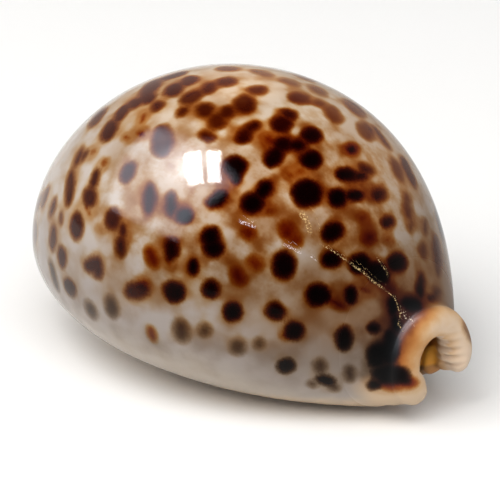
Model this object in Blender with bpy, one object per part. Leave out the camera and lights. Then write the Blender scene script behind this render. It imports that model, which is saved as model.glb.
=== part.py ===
"""A cowrie shell: one hollow, thick-lipped egg of shell with a toothed slit along its base.

The siphon end, with its notch, points along +X and the spire end along -X. The outer
lip is on the -Y side, the columella lip on the +Y side and the crown is up. The origin
is under the middle of the shell, on the surface that it rests on. Sizes are in metres.
"""
import math

import bmesh
import bpy
import numpy as np

# Overall size
LENGTH = 0.0850
WIDTH = 0.0604
CROWN_HEIGHT = 0.0468
# Level of the greatest width, and how far it drops toward the siphon end
BELT_HEIGHT = 0.0196
BELT_DROP = 0.0012
# How far the egg of the body stops short of either end, where the canals take over
BODY_SHORT_SIPHON = 0.0028
BODY_SHORT_SPIRE = 0.0018
# Egg form in plan and in profile: skew, fullness and late taper toward the siphon end
PLAN_FORM = (-0.016, -0.121, -0.197)
PROFILE_FORM = (0.009, -0.172, -0.199)
# The crown leans a little toward the outer lip
CROWN_LEAN = -0.0003
# Superellipse powers of a cross-section: over the back, under the middle, under the ends
BACK_POWER = 2.04
SOLE_POWER = 2.50
SIPHON_SOLE_POWER = 2.10
SPIRE_SOLE_POWER = 1.70
# Fillets between the body and the canals, sharper when higher
SIPHON_FILLET_POWER = 4.0
SPIRE_FILLET_POWER = 2.6

# Siphon canal: half width, height of its back above its axis, axis height, sideways offset
SIPHON_HALF_WIDTH = 0.0077
SIPHON_BACK = 0.0089
SIPHON_AXIS = 0.0101
SIPHON_OFFSET = 0.0023
# Spire canal, the same sizes
SPIRE_HALF_WIDTH = 0.0107
SPIRE_BACK = 0.0088
SPIRE_AXIS = 0.0110
SPIRE_OFFSET = 0.0060
# The rims of the canals flare over this length, most of all on the columella side
FLARE_LENGTH = 0.0060
SIPHON_FLARE_OUTER = 0.0006
SIPHON_FLARE_COLUMELLA = 0.0019
SPIRE_FLARE = 0.0005
# How high the sole lifts off the surface at either end
SIPHON_LIFT_OUTER = 0.0028
SIPHON_LIFT_COLUMELLA = 0.0052
SPIRE_LIFT = 0.0060
# Over the last stretch the back of a rim, and the lobe behind its leading lobe, stand back
SETBACK_LENGTH = 0.0090
BACK_SETBACK = 0.0007
BACK_SETBACK_FROM = 0.0090
BACK_SETBACK_RISE = 0.0100
LOBE_SETBACK = 0.0012
LOBE_SETBACK_FROM = 0.0020
LOBE_SETBACK_WIDTH = 0.0060
SIPHON_RIM_RADIUS = 0.0025
SPIRE_RIM_RADIUS = 0.0033

# Wall thickness of the back, the sides, the sole and the rims
BACK_WALL = 0.0023
SIDE_WALL = 0.0028
SOLE_WALL = 0.0056
SIPHON_RIM_WALL = 0.0049
SPIRE_RIM_BACK_WALL = 0.0055
SPIRE_RIM_SIDE_WALL = 0.0090
LEAST_SOLE_GAP = 0.0004

# Slit: half width at the middle and at both ends, sideways place of its middle
SLIT_HALF_MIDDLE = 0.0026
SLIT_HALF_END = 0.0032
SLIT_OFFSET = 0.0005
# Lips: how far they round over below, and where the inner skin leaves them
LIP_ROUND = 0.0030
LIP_CREST_RISE = 1.05
LIP_INNER_STEP = 0.0009
# The sole is worn flat by this much where it rests
SOLE_FLAT = 0.0006

# Teeth: grooves between ridges that run across both lips
TEETH = 23
TOOTH_ROW = 0.0780
GROOVE_DEPTH = 0.0008
TEETH_FADE = 0.0030
OUTER_TEETH_REACH = 0.0066
COLUMELLA_TEETH_REACH = 0.0050
INNER_TEETH_REACH = 0.0045

# Resolution of the mesh
STEPS_PER_TOOTH = 3
OUTER_SKIN_POINTS = 35
INNER_SKIN_POINTS = 17
NOSE_POINTS = 3
LIP_CROWDING = 0.085
RIM_TURNS = (0.32, 0.60, 0.84)

SHELL_COLOUR = (0.62, 0.47, 0.34, 1.0)


def soft_max(size, other, power):
    """The larger of two sizes, with a smooth fillet where they cross."""
    return (size**power + other**power) ** (1.0 / power)


def ease(value):
    """Rise smoothly from 0 to 1 while the value goes from 0 to 1."""
    value = np.clip(value, 0.0, 1.0)
    return value * value * (3.0 - 2.0 * value)


def egg(place, form):
    """Half-breadth of an egg, 1 at its widest, for places from -1 to 1 along it."""
    skew, fullness, taper = form

    def breadth(at):
        swell = 1.0 + skew * at + fullness * at**2 + taper * at**3
        return np.sqrt(np.clip(1.0 - at**2, 0.0, 1.0)) * swell

    return breadth(place) / breadth(np.linspace(-1.0, 1.0, 401)).max()


def section_sizes(x):
    """Sizes of the cross-sections at the stations x, as columns for broadcasting."""
    siphon_tip = 0.5 * LENGTH - BODY_SHORT_SIPHON
    spire_tip = -0.5 * LENGTH + BODY_SHORT_SPIRE
    place = (x - 0.5 * (siphon_tip + spire_tip)) / (0.5 * (siphon_tip - spire_tip))
    place = np.clip(place, -1.0, 1.0)
    toward_siphon = ease(x / LENGTH + 0.5)
    near_end = np.abs(place) ** 3
    at_end = np.abs(place) ** 4
    siphon_half = x > 0.0
    flare = np.clip((np.abs(x) - 0.5 * LENGTH + FLARE_LENGTH) / FLARE_LENGTH, 0.0, 1.0) ** 2

    def along(spire_size, siphon_size):
        return spire_size + (siphon_size - spire_size) * toward_siphon

    fillet = along(SPIRE_FILLET_POWER, SIPHON_FILLET_POWER)
    canal = along(SPIRE_HALF_WIDTH, SIPHON_HALF_WIDTH)
    outer_canal = canal + flare * along(SPIRE_FLARE, SIPHON_FLARE_OUTER)
    columella_canal = canal + flare * along(SPIRE_FLARE, SIPHON_FLARE_COLUMELLA)
    canal_back = along(SPIRE_BACK, SIPHON_BACK) + flare * along(SPIRE_FLARE, SIPHON_FLARE_OUTER)
    plan = 0.5 * WIDTH * egg(place, PLAN_FORM)
    belt = BELT_HEIGHT - BELT_DROP * place * (1.0 - place**2)
    axis = along(SPIRE_AXIS, SIPHON_AXIS)
    centre = np.where(siphon_half, SIPHON_OFFSET, SPIRE_OFFSET)
    profile = (CROWN_HEIGHT - BELT_HEIGHT) * egg(place, PROFILE_FORM)
    spire_lift = SPIRE_LIFT * place**2
    end_power = np.where(siphon_half, SIPHON_SOLE_POWER, SPIRE_SOLE_POWER)
    rim_back_wall = np.where(siphon_half, SIPHON_RIM_WALL, SPIRE_RIM_BACK_WALL)
    rim_side_wall = np.where(siphon_half, SIPHON_RIM_WALL, SPIRE_RIM_SIDE_WALL)
    sizes = {
        "outer_half": soft_max(plan, outer_canal, fillet),
        "columella_half": soft_max(plan, columella_canal, fillet),
        "back": soft_max(profile, canal_back, fillet),
        "belt": belt + (axis - belt) * near_end,
        "outer_sole": np.where(siphon_half, SIPHON_LIFT_OUTER * at_end, spire_lift),
        "columella_sole": np.where(siphon_half, SIPHON_LIFT_COLUMELLA * at_end, spire_lift),
        "centre": centre * at_end,
        "sole_power": SOLE_POWER + (end_power - SOLE_POWER) * near_end,
        "slit": SLIT_OFFSET + (centre - SLIT_OFFSET) * place**2,
        "slit_half": SLIT_HALF_MIDDLE + (SLIT_HALF_END - SLIT_HALF_MIDDLE) * near_end,
        "back_wall": BACK_WALL + (rim_back_wall - BACK_WALL) * at_end,
        "side_wall": SIDE_WALL + (rim_side_wall - SIDE_WALL) * at_end,
    }
    return {name: size[:, None] for name, size in sizes.items()}


def skin_sizes(sizes, inside):
    """Half widths, back and depths of the outer skin, or of the inner one."""
    depths = [sizes["belt"] - sizes["outer_sole"], sizes["belt"] - sizes["columella_sole"]]
    halves = [sizes["outer_half"], sizes["columella_half"]]
    back = sizes["back"]
    if inside:
        depths = [np.maximum(depth - SOLE_WALL, LEAST_SOLE_GAP) for depth in depths]
        halves = [half - sizes["side_wall"] for half in halves]
        back = back - sizes["back_wall"]
    return halves, back, depths


def skin_points(sizes, skin, angle):
    """Points of a cross-section at angles that run from below, by -Y, over the back."""
    halves, back, depths = skin
    down, side = np.cos(angle), np.sin(angle)
    over = down < 0.0
    power = np.where(over, BACK_POWER, sizes["sole_power"])
    half = np.where(side > 0.0, halves[0], halves[1])
    depth = np.where(side > 0.0, depths[0], depths[1])
    across = half * np.sign(side) * np.abs(side) ** (2.0 / power)
    upright = np.abs(down) ** (2.0 / power)
    lean = CROWN_LEAN * np.where(over, down**2, 0.0) * half / (0.5 * WIDTH)
    y = sizes["centre"] - across + lean
    z = sizes["belt"] + np.where(over, back * upright, -depth * upright)
    return np.stack([y, z], axis=-1)


def lip_angle(distance, half, power):
    """Angle at which a skin comes within the given distance of its centre line."""
    ratio = distance / half
    ratio = ratio / (1.0 + ratio**10) ** 0.1
    return np.arcsin(np.clip(ratio, 0.001, 0.999) ** (0.5 * power))


def lip_nose(crest, skin_end, direction):
    """Round curve from the crest of a lip to the end of a skin, the crest first."""
    turn = 0.552
    steps = np.linspace(0.0, 1.0, NOSE_POINTS + 1)[None, :-1, None]
    gap = skin_end - crest
    run = turn * np.abs(gap[..., :1]) / np.maximum(np.abs(direction[..., :1]), 0.3)
    upright = np.concatenate([np.zeros_like(gap[..., :1]), turn * gap[..., 1:]], axis=-1)
    near_crest = crest + upright
    near_skin = skin_end + direction * run
    keep = 1.0 - steps
    ends = keep**3 * crest + steps**3 * skin_end
    return ends + 3.0 * keep**2 * steps * near_crest + 3.0 * keep * steps**2 * near_skin


def half_loop(sizes, inside):
    """One skin of every section, from the outer lip's crest to the columella lip's."""
    skin = skin_sizes(sizes, inside)
    reach = LIP_INNER_STEP if inside else LIP_ROUND
    lips = ("outer_sole", "columella_sole")
    crests = [sizes["slit"] - sizes["slit_half"], sizes["slit"] + sizes["slit_half"]]
    offsets = [sizes["centre"] - crests[0] + reach, crests[1] + reach - sizes["centre"]]
    start, stop = [lip_angle(offsets[k], skin[0][k], sizes["sole_power"]) for k in (0, 1)]
    stop = 2.0 * math.pi - stop
    even = np.linspace(0.0, 1.0, INNER_SKIN_POINTS if inside else OUTER_SKIN_POINTS)[None]
    angle = start + (stop - start) * (even - LIP_CROWDING * np.sin(2.0 * math.pi * even))
    points = skin_points(sizes, skin, angle)
    noses = []
    for k, end_angle, outward in ((0, angle[:, :1], -1.0), (1, angle[:, -1:], 1.0)):
        skin_end = skin_points(sizes, skin, end_angle)
        ahead = skin_points(sizes, skin, end_angle + outward * 0.001)
        direction = ahead - skin_end
        direction = direction / np.linalg.norm(direction, axis=-1, keepdims=True)
        crest_height = sizes[lips[k]] + LIP_CREST_RISE * LIP_ROUND
        crest = np.stack([crests[k], crest_height], axis=-1)
        noses.append(lip_nose(crest, skin_end, direction))
    return np.concatenate([noses[0], points, noses[1][:, ::-1]], axis=1)


def tooth_grooves(x, loop, inside):
    """Depth of the grooves between the teeth at every point of a half loop."""
    pitch = TOOTH_ROW / TEETH
    fade = ease((0.5 * TOOTH_ROW - np.abs(x)) / TEETH_FADE)[:, None]
    depth = np.zeros(loop.shape[:2])
    steps = np.linalg.norm(np.diff(loop, axis=1), axis=-1)
    lips = ((1, 0.0, OUTER_TEETH_REACH), (-1, math.pi, COLUMELLA_TEETH_REACH))
    for direction, phase, sole_reach in lips:
        reach = INNER_TEETH_REACH if inside else sole_reach
        walked = np.cumsum(steps[:, ::direction], axis=1)
        walked = np.concatenate([np.zeros((len(x), 1)), walked], axis=1)[:, ::direction]
        valley = 0.5 - 0.5 * np.cos(2.0 * math.pi * x / pitch + phase)
        depth += fade * valley[:, None] * (1.0 - ease(walked / reach))
    return GROOVE_DEPTH * depth


def cut_teeth(x, loop, inside):
    """Press the grooves between the teeth into a half loop, along its normals."""
    along = np.gradient(loop, axis=1)
    along = along / np.linalg.norm(along, axis=-1, keepdims=True)
    inward = np.stack([along[..., 1], -along[..., 0]], axis=-1)
    if inside:
        inward = -inward
    return loop + inward * tooth_grooves(x, loop, inside)[..., None]


def stations():
    """Stations along the shell: an even row through the teeth, then out to the rims."""
    row = np.linspace(-0.5 * TOOTH_ROW, 0.5 * TOOTH_ROW, TEETH * STEPS_PER_TOOTH + 1)
    spire_rim = SPIRE_RIM_RADIUS - 0.5 * LENGTH
    siphon_rim = 0.5 * LENGTH - SIPHON_RIM_RADIUS
    return np.concatenate([[spire_rim], row[np.abs(row) < -spire_rim], [siphon_rim]])


def facing(ring, count):
    """Points of a half loop that face those of the other skin, which has count points."""
    here = np.linspace(0.0, 1.0, len(ring))
    there = np.linspace(0.0, 1.0, count)
    return np.column_stack([np.interp(there, here, ring[:, k]) for k in (0, 1)])


def shorten(ring, trim):
    """A half loop drawn in along itself by the given length at both of its ends."""
    steps = np.linalg.norm(np.diff(ring, axis=0), axis=-1)
    walked = np.concatenate([[0.0], np.cumsum(steps)])
    wanted = trim + walked * (1.0 - 2.0 * trim / walked[-1])
    return np.column_stack([np.interp(wanted, walked, ring[:, k]) for k in (0, 1)])


def round_rim(outer, inner, end):
    """Rings that turn a wall's end over, both skins closing in on the middle of the wall."""
    radius = SIPHON_RIM_RADIUS if end > 0.0 else SPIRE_RIM_RADIUS
    rims = []
    for skin, other in ((outer, inner), (inner, outer)):
        middle = 0.5 * (skin + facing(other, len(skin)))
        rings = []
        for share in RIM_TURNS:
            turn = 0.5 * math.pi * share
            x = end * (0.5 * LENGTH - radius * (1.0 - math.sin(turn)))
            drawn_in = shorten(middle, radius * (1.0 - math.cos(turn)))
            ring = drawn_in + (skin - middle) * math.cos(turn)
            rings.append(np.column_stack([np.full(len(ring), x), ring]))
        rims.append(np.array(rings))
    return rims


def settle(points):
    """Set back the backs and the following lobes of the rims, and wear the sole flat."""
    x, y, z = points[..., 0], points[..., 1], points[..., 2]
    near_rim = (np.abs(x) - 0.5 * LENGTH + SETBACK_LENGTH) / SETBACK_LENGTH
    near_rim = np.clip(near_rim, 0.0, 1.0) ** 2
    height = ease((z - BACK_SETBACK_FROM) / BACK_SETBACK_RISE)
    lobe = ease(np.sign(x) * (LOBE_SETBACK_FROM - y) / LOBE_SETBACK_WIDTH)
    x = x - np.sign(x) * near_rim * (BACK_SETBACK * height + LOBE_SETBACK * lobe)
    z = np.maximum(z - SOLE_FLAT, 0.0)
    return np.stack([x, y, z], axis=-1)


def shell_skins():
    """Outer and inner half loops of every station, from the spire end to the siphon end."""
    x = stations()
    sizes = section_sizes(x)
    loops = [cut_teeth(x, half_loop(sizes, inside), inside) for inside in (False, True)]
    spire_rims = round_rim(loops[0][0], loops[1][0], -1.0)
    siphon_rims = round_rim(loops[0][-1], loops[1][-1], 1.0)
    skins = []
    for k, loop in enumerate(loops):
        spread = np.broadcast_to(x[:, None, None], loop.shape[:2] + (1,))
        body = np.concatenate([spread, loop], axis=-1)
        skins.append(settle(np.concatenate([spire_rims[k][::-1], body, siphon_rims[k]])))
    return skins


def bridge(shell, rows):
    """Fill a grid of vertices with faces, four at a time."""
    for row, next_row in zip(rows, rows[1:]):
        for k in range(len(row) - 1):
            shell.faces.new((row[k], row[k + 1], next_row[k + 1], next_row[k]))


def close_rim(shell, outer, inner):
    """Close the last gap of a rim, between the last outer ring and the last inner one."""
    step = (len(inner) - 1) / (len(outer) - 1)
    for k in range(len(outer) - 1):
        near, far = round(k * step), round((k + 1) * step)
        corners = (outer[k], outer[k + 1], inner[far], inner[near])
        shell.faces.new(list(dict.fromkeys(corners)))


def add_shell():
    """Build the shell as one closed body: outer skin, inner skin, lips and rims."""
    outer, inner = shell_skins()
    crests = 0.5 * (outer[:, (0, -1)] + inner[:, (0, -1)])
    outer[:, (0, -1)] = crests
    shell = bmesh.new()
    outer_rows = [[shell.verts.new(point) for point in ring] for ring in outer.tolist()]
    inner_rows = []
    for ring, outer_row in zip(inner.tolist(), outer_rows):
        between = [shell.verts.new(point) for point in ring[1:-1]]
        inner_rows.append([outer_row[0], *between, outer_row[-1]])
    bridge(shell, outer_rows)
    bridge(shell, [row[::-1] for row in inner_rows])
    close_rim(shell, outer_rows[0], inner_rows[0])
    close_rim(shell, outer_rows[-1], inner_rows[-1])
    bmesh.ops.recalc_face_normals(shell, faces=shell.faces)
    bmesh.ops.triangulate(shell, faces=shell.faces)
    mesh = bpy.data.meshes.new("shell")
    shell.to_mesh(mesh)
    shell.free()
    mesh.shade_smooth()
    obj = bpy.data.objects.new("shell", mesh)
    bpy.context.scene.collection.objects.link(obj)
    return obj


def porcelain():
    """Glossy spotted shell, given its mean colour."""
    material = bpy.data.materials.new("glazed_shell")
    material.use_nodes = True
    shader = material.node_tree.nodes["Principled BSDF"]
    shader.inputs["Base Color"].default_value = SHELL_COLOUR
    shader.inputs["Roughness"].default_value = 0.12
    shader.inputs["Metallic"].default_value = 0.0
    return material


def main():
    for obj in list(bpy.data.objects):
        bpy.data.objects.remove(obj, do_unlink=True)
    shell = add_shell()
    shell.data.materials.append(porcelain())


main()
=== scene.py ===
"""A glossy spotted cowrie shell on a plain white floor, laid out as a Blender add-on.

The shell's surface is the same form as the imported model's, made fine enough to carry its
spots. A spot is placed by the pixel at which the photograph shows it, and lies on the shell.
"""

import math
from collections import namedtuple
from functools import reduce
from operator import mul

import bpy
import numpy as np
from mathutils import Matrix, Quaternion, Vector
from mathutils.bvhtree import BVHTree


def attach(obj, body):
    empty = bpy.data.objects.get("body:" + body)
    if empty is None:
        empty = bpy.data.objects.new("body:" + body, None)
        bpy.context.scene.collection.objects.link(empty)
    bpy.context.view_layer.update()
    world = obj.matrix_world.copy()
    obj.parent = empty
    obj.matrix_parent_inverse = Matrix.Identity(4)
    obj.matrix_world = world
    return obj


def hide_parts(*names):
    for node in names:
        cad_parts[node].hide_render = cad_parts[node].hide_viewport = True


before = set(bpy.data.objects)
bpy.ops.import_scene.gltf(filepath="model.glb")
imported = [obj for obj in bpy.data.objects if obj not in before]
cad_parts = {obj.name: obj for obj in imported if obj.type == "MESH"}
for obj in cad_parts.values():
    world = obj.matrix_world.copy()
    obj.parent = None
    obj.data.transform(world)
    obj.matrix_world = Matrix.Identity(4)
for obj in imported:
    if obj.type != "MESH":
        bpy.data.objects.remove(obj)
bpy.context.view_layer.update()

bl_info = {
    "name": "Spotted Cowrie Shell",
    "version": (1, 0, 0),
    "blender": (4, 5, 0),
    "location": "View3D > Sidebar > Shell",
    "description": "Builds a glossy spotted cowrie shell and its small studio",
    "category": "Add Mesh",
}

MM = 0.001

# Overall size
LENGTH = 0.0850
WIDTH = 0.0604
CROWN_HEIGHT = 0.0468
# Level of the greatest width, and how far it drops toward the siphon end
BELT_HEIGHT = 0.0196
BELT_DROP = 0.0012
# Egg form in plan and in profile: skew, fullness and late taper toward the siphon end
PLAN_FORM = (-0.016, -0.121, -0.197)
PROFILE_FORM = (0.009, -0.172, -0.199)
# The crown leans a little toward the outer lip
CROWN_LEAN = -0.0003
# Superellipse powers of a cross-section: over the back and under the middle
BACK_POWER = 2.04
SOLE_POWER = 2.50

# The two ends of the shell, where canals take over from the egg of the body: how far the egg
# stops short, and the fillet between them, sharper when higher; the canal's half width, the
# height of its back above its axis, the axis height and its sideways offset; the flare of its
# rim and the lift of its lip on the outer lip's side and on the columella's; its rim's radius
# and walls; the slit's half width and offset; and the superellipse power of the sole
End = namedtuple(
    "End",
    "short fillet half_width back axis offset flare_outer flare_columella lift_outer "
    "lift_columella rim_radius back_wall side_wall slit_half slit_offset sole_power",
)
SPIRE = End(
    short=0.0018, fillet=2.6, half_width=0.0107, back=0.0088, axis=0.0110, offset=0.0060,
    flare_outer=0.0005, flare_columella=0.0005, lift_outer=0.0060, lift_columella=0.0060,
    rim_radius=0.0033, back_wall=0.0055, side_wall=0.0090, slit_half=0.0032,
    slit_offset=0.0060, sole_power=1.70,
)
SIPHON = End(
    short=0.0028, fillet=4.0, half_width=0.0077, back=0.0089, axis=0.0101, offset=0.0023,
    flare_outer=0.0006, flare_columella=0.0019, lift_outer=0.0028, lift_columella=0.0052,
    rim_radius=0.0025, back_wall=0.0049, side_wall=0.0049, slit_half=0.0028,
    slit_offset=0.0035, sole_power=2.10,
)
# The rims of the canals flare over this length
FLARE_LENGTH = 0.0060
# Over the last stretch the back of a rim, and the lobe behind its leading lobe, stand back
SETBACK_LENGTH = 0.0090
BACK_SETBACK = 0.0007
BACK_SETBACK_FROM = 0.0090
BACK_SETBACK_RISE = 0.0100
LOBE_SETBACK = 0.0012
LOBE_SETBACK_FROM = 0.0020
LOBE_SETBACK_WIDTH = 0.0060

# Wall thickness of the back, the sides and the sole
BACK_WALL = 0.0023
SIDE_WALL = 0.0028
SOLE_WALL = 0.0056
LEAST_SOLE_GAP = 0.0004
# The forming of the lips: how a skin eases to its centre line, how far short of it and of its
# side it stays, the handles of a round curve, its least run, and a small step of angle
LIP_EASE = 10
LIP_RATIOS = (0.001, 0.999)
ROUND_HANDLE = 0.552
LEAST_RUN = 0.3
ANGLE_STEP = 0.001

# Slit: its half width and its sideways place at the middle
SLIT_HALF_MIDDLE = 0.0026
SLIT_OFFSET = 0.0005
# Lips: how far they round over below, and where the inner skin leaves them
LIP_ROUND = 0.0030
LIP_CREST_RISE = 1.05
LIP_INNER_STEP = 0.0009
# The sole is worn flat by this much where it rests
SOLE_FLAT = 0.0006

# Teeth: grooves between ridges that run across both lips
TOOTH_ROW = 0.0780
TEETH_FADE = 0.0030
OUTER_TEETH_REACH = 0.0066
COLUMELLA_TEETH_REACH = 0.0050
INNER_TEETH_REACH = 0.0045

# Bead inside the siphon notch, on the columella side, over which the teeth climb
BEAD_PLACE = 0.0400
BEAD_BEHIND = 0.0038
BEAD_AHEAD = 0.0030
BEAD_SIDE = 0.0030
BEAD_SIDE_WIDTH = 0.0030
BEAD_FOOT = 0.0042
BEAD_FOOT_WIDTH = 0.0020
BEAD_TEETH_PITCH = 0.00145
# From here the grooves of the bead also bite into the face of the rim
BEAD_FACE = 0.0385
BEAD_FACE_LENGTH = 0.0025

# Resolution of the mesh
EGG_SAMPLES = 401
STATIONS = 251
OUTER_SKIN_POINTS = 270
INNER_SKIN_POINTS = 56
# The inner skin has more of its points on the columella side, where the notch shows them
INNER_SKIN_CROWDING = 1.8
NOSE_POINTS = 10
NOSE_SHARE = 0.08
RIM_TURNS = (0.14, 0.28, 0.42, 0.55, 0.67, 0.78, 0.88, 0.96)

# The photograph's camera: where it looks, from which side, and how long its lens is
PHOTO_WIDTH = 500
PHOTO_TARGET = (0.00226, -0.00119, 0.01794)
PHOTO_AZIMUTH = 46.98
PHOTO_ELEVATION = 22.61
PHOTO_DISTANCE = 0.5233
PHOTO_LENS_MM = 231.5
SENSOR_MM = 36.0

# A mark as the photograph shows it: the pixel of its middle, half its length and half its
# breadth in millimetres, and how its length slants, in degrees clockwise from level
Mark = namedtuple("Mark", "x y long wide slant")

# Dark marks along the crown and over the back, from the spire end to the siphon end
CROWN_MARKS = (
    Mark(109, 131, 2, 1.05, -57), Mark(122, 113, 1.8, 0.75, -52), Mark(135, 103, 1.5, 0.7, -25),
    Mark(147, 97, 1.5, 1, -25), Mark(151, 87, 2, 0.8, -32), Mark(157, 106, 1.1, 0.7, -28),
    Mark(174, 90, 1.7, 0.95, -25), Mark(189, 81, 1.6, 0.75, -18), Mark(192, 97, 2.1, 0.95, -25),
    Mark(209, 88, 1.5, 0.85, -25), Mark(226, 82, 1.8, 0.75, -8), Mark(205, 110, 1.45, 1.15, 0),
    Mark(217, 121, 1.5, 1.3, 0), Mark(227, 112, 1.4, 0.95, -20), Mark(244, 104, 1.75, 1.5, 0),
    Mark(257, 90, 1.6, 0.7, 0), Mark(182, 112, 1.1, 0.6, -30), Mark(207, 136, 1.3, 0.75, 15),
    Mark(252, 127, 1.3, 0.75, -25), Mark(244, 136, 1.3, 1.1, -30), Mark(281, 124, 1.6, 1.3, 0),
    Mark(289, 114, 1.3, 0.75, 10), Mark(274, 157, 1.8, 1.3, -50), Mark(283, 144, 1.5, 1.15, 0),
    Mark(297, 145, 1.45, 0.85, 8), Mark(312, 135, 1.6, 1.15, 0), Mark(311, 160, 1.7, 1.35, -5),
    Mark(300, 98, 2, 0.9, 8), Mark(320, 103, 1.3, 0.5, 20), Mark(333, 114, 1.9, 1, 45),
    Mark(262, 73, 1.9, 0.45, 12), Mark(228, 69, 2, 0.4, 0), Mark(290, 82, 1.7, 0.5, 18),
    Mark(318, 91, 1.8, 0.6, 28), Mark(304, 77, 2, 0.35, 20), Mark(173, 76, 2.3, 0.35, -16),
    Mark(354, 108, 2.2, 0.65, 38), Mark(366, 131, 1.9, 1.1, 45), Mark(382, 138, 2.6, 0.45, 52),
    Mark(397, 170, 2.4, 0.85, 62), Mark(408, 172, 3, 0.7, 64),
)
BACK_MARKS = (
    Mark(307, 194, 2.6, 2.3, 0), Mark(252, 203, 2, 1.75, -20), Mark(264, 190, 1.7, 1.3, -42),
    Mark(235, 166, 1.75, 1.5, 0), Mark(236, 176, 1.2, 0.9, 80), Mark(352, 149, 0.75, 0.6, 30),
    Mark(347, 175, 1.8, 1.2, 8), Mark(361, 176, 1.3, 0.9, 0), Mark(367, 169, 1.5, 0.95, 25),
    Mark(380, 194, 1.45, 1.3, 0), Mark(338, 198, 1.6, 1.6, 0), Mark(355, 195, 1.6, 1, 0),
    Mark(408, 206, 2.5, 0.85, 80), Mark(411, 226, 1.2, 0.6, 88), Mark(388, 222, 1.2, 1.2, 0),
    Mark(332, 232, 1.95, 1.6, -35), Mark(331, 259, 1.75, 1.5, 0), Mark(360, 264, 1.95, 1.75, 0),
    Mark(377, 272, 2.3, 1.75, 38), Mark(397, 263, 1.75, 1.6, 0), Mark(423, 250, 1.5, 0.75, 78),
    Mark(421, 285, 2.2, 0.9, 88), Mark(411, 304, 1.8, 1.2, 18), Mark(393, 306, 1.75, 1, 85),
    Mark(318, 295, 2.05, 1.95, 0), Mark(351, 295, 1.6, 1.1, 100), Mark(284, 265, 2.3, 2, 90),
    Mark(425, 226, 1.5, 0.6, 85), Mark(437, 256, 3.5, 0.8, 84), Mark(437, 292, 1.2, 0.85, 70),
    Mark(440, 222, 3.2, 0.5, 76), Mark(432, 297, 0.9, 0.75, 0), Mark(459, 314, 1.9, 0.45, 48),
    Mark(468, 333, 2.3, 0.55, 68),
)
# Dark marks down the flank
FLANK_MARKS = (
    Mark(344, 338, 2.15, 1.45, 97), Mark(294, 331, 1.7, 1.6, 0), Mark(275, 311, 1.6, 1.55, 0),
    Mark(233, 312, 1.65, 1.6, 0), Mark(211, 289, 1.6, 1.5, 90), Mark(211, 237, 1.75, 1.65, 90),
    Mark(214, 249, 1.7, 1.6, 0), Mark(193, 267, 1.5, 0.95, 90), Mark(174, 292, 2, 1.75, 40),
    Mark(171, 249, 2, 1.4, 90), Mark(121, 247, 1.9, 1.1, 90), Mark(123, 230, 1.3, 0.8, 90),
    Mark(113, 218, 2, 1.45, 97), Mark(77, 226, 2.5, 1.2, 92), Mark(90, 197, 1.9, 1.3, 97),
    Mark(95, 178, 1.9, 0.8, 108), Mark(70, 188, 3.2, 0.9, 97), Mark(79, 157, 1.9, 0.65, 115),
    Mark(84, 156, 1.3, 0.5, 122), Mark(97, 118, 2.2, 0.65, -50), Mark(53, 238, 2.3, 0.7, 92),
    Mark(62, 257, 2.1, 0.8, 84), Mark(53, 207, 1.9, 0.55, 105), Mark(45, 197, 2.1, 0.45, 108),
    Mark(34, 234, 2.6, 0.5, 92), Mark(38, 204, 2, 0.35, 112), Mark(70, 287, 1.9, 0.95, 66),
    Mark(93, 265, 1.6, 1.5, 0), Mark(98, 268, 2, 1, 86), Mark(137, 291, 2.1, 1.7, 0),
    Mark(61, 218, 1.1, 0.35, 92), Mark(286, 366, 1.6, 1.35, 0), Mark(325, 380, 1.7, 0.95, 10),
)
# Dark marks that the bright window veils
VEILED_MARKS = (
    Mark(162, 141, 2.6, 1.7, 96), Mark(128, 173, 2, 1.2, 118), Mark(149, 199, 2.6, 1.25, 97),
    Mark(171, 204, 2.1, 1.1, 92), Mark(184, 216, 1.5, 1.4, 0), Mark(217, 200, 1.95, 1.2, -28),
)
# The great dark patch behind the siphon notch
NOTCH_PATCH = (
    Mark(374, 328, 1.1, 0.95, 0), Mark(396, 324, 1.6, 0.9, 80), Mark(391, 347, 2.9, 1.5, 90),
    Mark(377, 356, 2.2, 1.8, 90), Mark(391, 374, 3.2, 1.75, 2), Mark(385, 352, 2.2, 1.8, 0),
    Mark(374, 385, 1.2, 0.9, 0), Mark(403, 380, 1.3, 0.8, 10),
)
# Russet marks with no dark middle
AMBER_MARKS = (
    Mark(152, 257, 2, 1.1, 68), Mark(249, 233, 1.15, 1.1, 0), Mark(287, 230, 1.6, 1.3, 60),
    Mark(296, 240, 1.1, 0.9, 40), Mark(255, 263, 1.4, 1.2, 20), Mark(238, 276, 1.6, 1.2, 60),
    Mark(352, 149, 1.2, 1.1, 30), Mark(368, 238, 1.3, 1.1, 0), Mark(143, 284, 1.1, 0.9, 0),
    Mark(385, 285, 2.2, 1, 35), Mark(336, 303, 1.9, 0.8, 25), Mark(286, 335, 0.9, 0.8, 0),
    Mark(152, 334, 1.4, 0.75, 66),
)
# Faint amber smudges
FAINT_MARKS = (
    Mark(143, 118, 1.3, 0.75, -58), Mark(141, 134, 1.2, 0.95, 0), Mark(127, 138, 0.9, 0.75, 0),
    Mark(104, 163, 1.1, 0.75, -60), Mark(93, 152, 1, 0.65, -45), Mark(363, 218, 0.9, 0.8, 0),
    Mark(88, 211, 1.4, 0.7, 70), Mark(100, 229, 0.8, 0.5, 20), Mark(365, 290, 1.6, 0.9, 20),
    Mark(168, 262, 1.2, 0.8, 60), Mark(291, 175, 1.1, 0.8, 30), Mark(269, 211, 1.1, 0.7, -20),
    Mark(270, 140, 1.4, 1, 30), Mark(300, 171, 1.2, 0.9, 0), Mark(388, 239, 1, 0.8, 60),
    Mark(397, 382, 4, 1.9, 0),
)
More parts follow.
